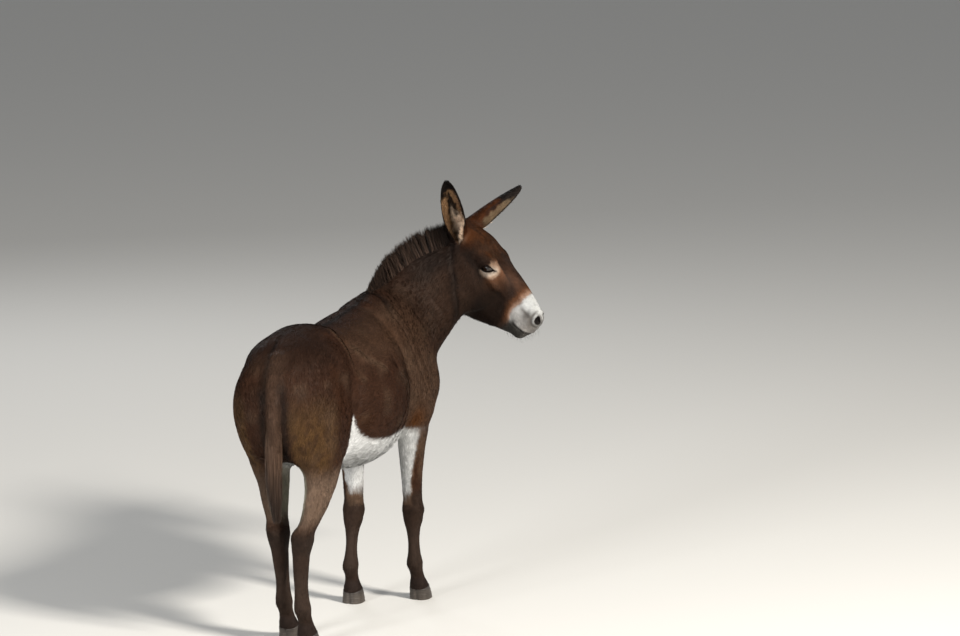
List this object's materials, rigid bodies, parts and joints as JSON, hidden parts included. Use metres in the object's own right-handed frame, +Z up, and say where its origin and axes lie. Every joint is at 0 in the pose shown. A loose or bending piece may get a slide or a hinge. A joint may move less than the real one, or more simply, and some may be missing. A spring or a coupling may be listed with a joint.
{
  "type": "donkey",
  "caption": "Life-size still figure of a dark brown donkey standing on four hooves, looking to its right, with long ears, upright mane, pale muzzle and pale belly.",
  "frame": {"origin": "middle of the bounding box's bottom face, at the level of the soles", "axes": "+Z up, the donkey faces -Y, its left side is towards +X, and its head is turned towards -X"},
  "size_m": [0.7976, 1.4552, 1.6026],
  "materials": {
    "coat": "short dark brown hair",
    "mane": "coarse black hair",
    "horn": "dark grey horn",
    "eye": "wet dark brown"
  },
  "bodies": {
    "root": {"trunk": "coat", "neck": "coat", "head": "coat", "ear_left": "coat", "ear_right": "coat", "eye_left": "eye", "eye_right": "eye", "mane": "mane", "tail": "coat", "tail_tuft": "mane", "leg_hind_left": "coat", "leg_hind_right": "coat", "leg_fore_left": "coat", "leg_fore_right": "coat", "hoof_hind_left": "horn", "hoof_hind_right": "horn", "hoof_fore_left": "horn", "hoof_fore_right": "horn"}
  },
  "joints": []
}
